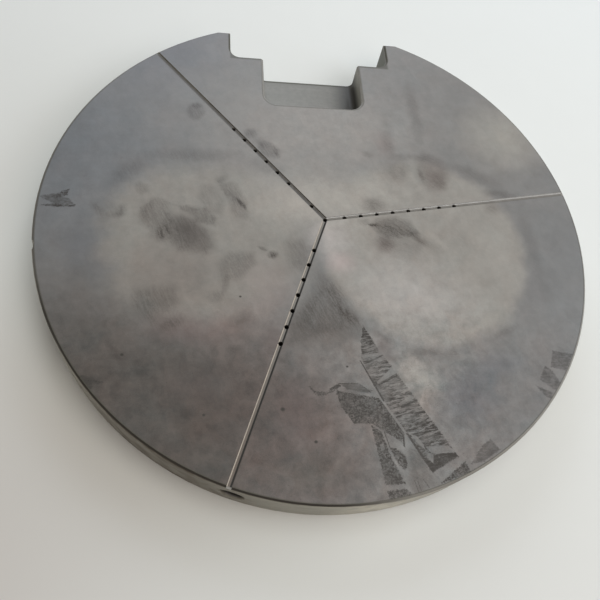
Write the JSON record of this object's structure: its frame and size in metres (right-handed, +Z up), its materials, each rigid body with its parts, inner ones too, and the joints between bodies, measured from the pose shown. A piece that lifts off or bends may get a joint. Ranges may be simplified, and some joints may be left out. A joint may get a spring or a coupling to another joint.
{
  "type": "silicon carbide vacuum tray",
  "caption": "Thick round silicon carbide tray that holds flat work by suction, with grooves in rows of holes, a rim vacuum port and a stepped handling notch.",
  "frame": {"origin": "on the disc's axis, at the underside", "axes": "+Z up out of the work face, +Y from the axis towards the handling notch, +X to the right of it"},
  "size_m": [0.3, 0.2884, 0.025],
  "materials": {
    "silicon_carbide": "ground satin grey, handled and marked"
  },
  "bodies": {
    "root": {"tray": "silicon_carbide"}
  },
  "joints": []
}
